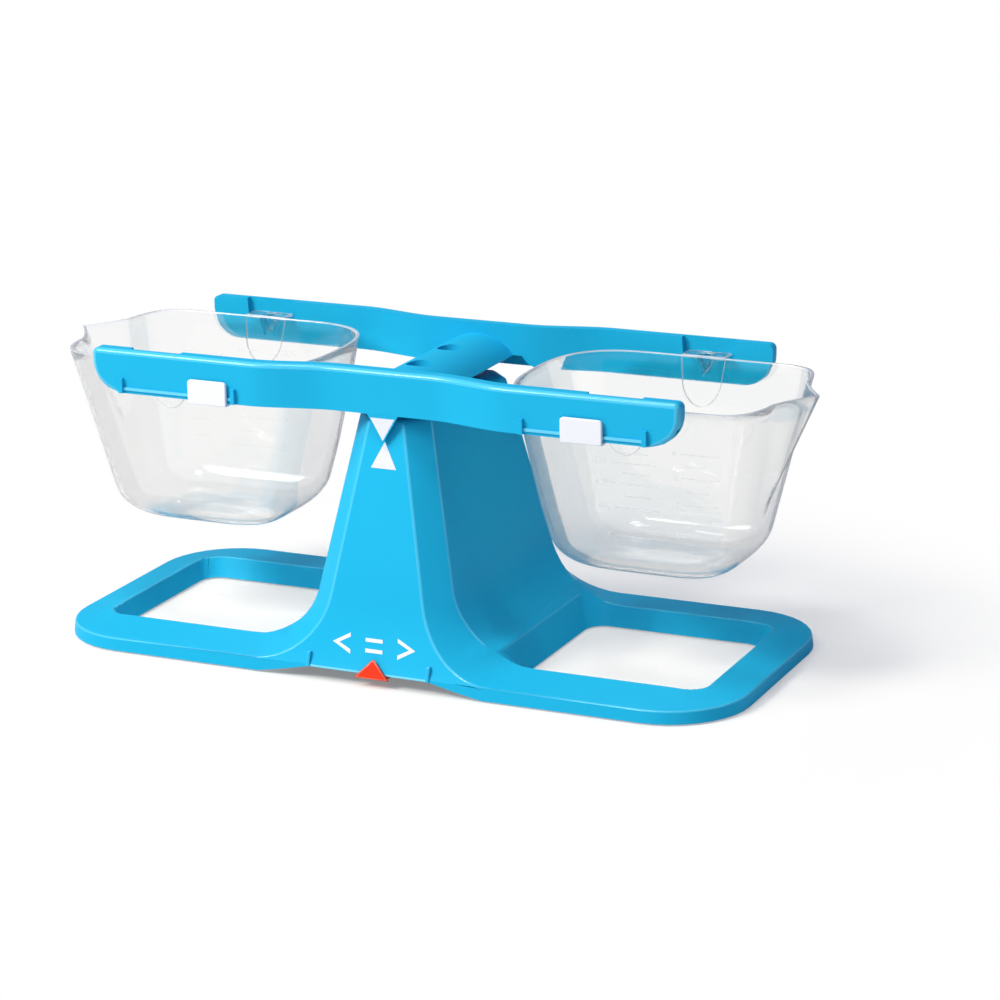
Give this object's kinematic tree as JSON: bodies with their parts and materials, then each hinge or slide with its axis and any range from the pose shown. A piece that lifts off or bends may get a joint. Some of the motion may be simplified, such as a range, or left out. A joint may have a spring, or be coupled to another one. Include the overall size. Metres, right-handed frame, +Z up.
{
  "type": "bucket balance",
  "caption": "Two-pan classroom balance: a bell-shaped stand carries a rocking beam with clear graduated pouring buckets, zero sliders and a result marker.",
  "frame": {"origin": "on the table, under the middle of the bounding box", "axes": "+Z up, +X along the beam to the right, -Y to the front, where the marker and the sliders are"},
  "size_m": [0.4744, 0.1954, 0.1792],
  "materials": {
    "blue_plastic": "satin moulded",
    "clear_plastic": "clear polished",
    "white_plastic": "satin moulded",
    "red_plastic": "satin moulded",
    "dark_plastic": "satin moulded",
    "black_rubber": "matte",
    "steel": "ground"
  },
  "bodies": {
    "stand": {"stand": "blue_plastic", "foot_front_left": "black_rubber", "foot_front_right": "black_rubber", "foot_rear_left": "black_rubber", "foot_rear_right": "black_rubber", "bearing_front": "steel", "bearing_rear": "steel", "bearing_screw_front": "steel", "bearing_screw_rear": "steel"},
    "marker": {"red_marker": "red_plastic"},
    "beam": {"beam": "blue_plastic", "pivot_carrier": "dark_plastic", "knife_edge_front": "steel", "knife_edge_rear": "steel", "carrier_screw_front": "steel", "carrier_screw_rear": "steel"},
    "slider_left": {"slider_left": "white_plastic"},
    "slider_right": {"slider_right": "white_plastic"},
    "bucket_left": {"bucket_left": "clear_plastic"},
    "bucket_right": {"bucket_right": "clear_plastic"}
  },
  "joints": [
    {"name": "beam_rock", "type": "hinge", "parent": "stand", "child": "beam", "pos_m": [0, 0.00097, 0.165], "axis": [0, 1, 0], "range_deg": [-8, 8]},
    {"name": "bucket_left_swing", "type": "hinge", "parent": "beam", "child": "bucket_left", "pos_m": [-0.1441, 0.00097, 0.1591], "axis": [0, 1, 0], "range_deg": [-10, 10]},
    {"name": "bucket_right_swing", "type": "hinge", "parent": "beam", "child": "bucket_right", "pos_m": [0.1441, 0.00097, 0.1591], "axis": [0, 1, 0], "range_deg": [-10, 10]},
    {"name": "slider_left_slide", "type": "slide", "parent": "beam", "child": "slider_left", "axis": [1, 0, 0], "range_m": [-0.0433, 0.0023]},
    {"name": "slider_right_slide", "type": "slide", "parent": "beam", "child": "slider_right", "axis": [1, 0, 0], "range_m": [-0.0225, 0.0231]},
    {"name": "marker_slide", "type": "slide", "parent": "stand", "child": "marker", "axis": [1, 0, 0], "range_m": [-0.031, 0.024]}
  ]
}
